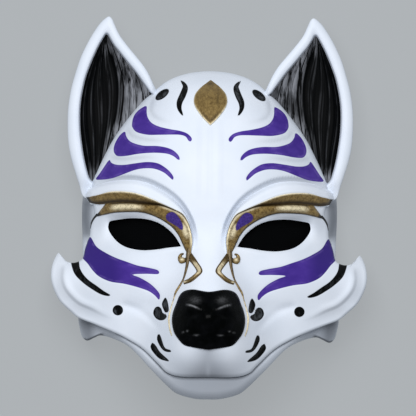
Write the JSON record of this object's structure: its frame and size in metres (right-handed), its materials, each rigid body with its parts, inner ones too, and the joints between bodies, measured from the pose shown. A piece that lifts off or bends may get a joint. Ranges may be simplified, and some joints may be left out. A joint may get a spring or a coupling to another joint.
{
  "type": "kitsune mask",
  "caption": "Fox face mask of one hollow shell with upright ears, brow ridges, muzzle, cheek flares and gauze-backed eye openings, lying face up on its back rim.",
  "frame": {"origin": "centre of the footprint on the plane of the back rim", "axes": "+Z out of the face, +Y from chin to ears, +X to the right of a person looking at the face"},
  "size_m": [0.1986, 0.2398, 0.1176],
  "materials": {
    "mask_shell": "cast resin, satin white paint with purple, gold and black areas",
    "eye_gauze": "stiffened black gauze"
  },
  "bodies": {
    "root": {"mask_shell": "mask_shell", "eye_gauze_right": "eye_gauze", "eye_gauze_left": "eye_gauze"}
  },
  "joints": []
}
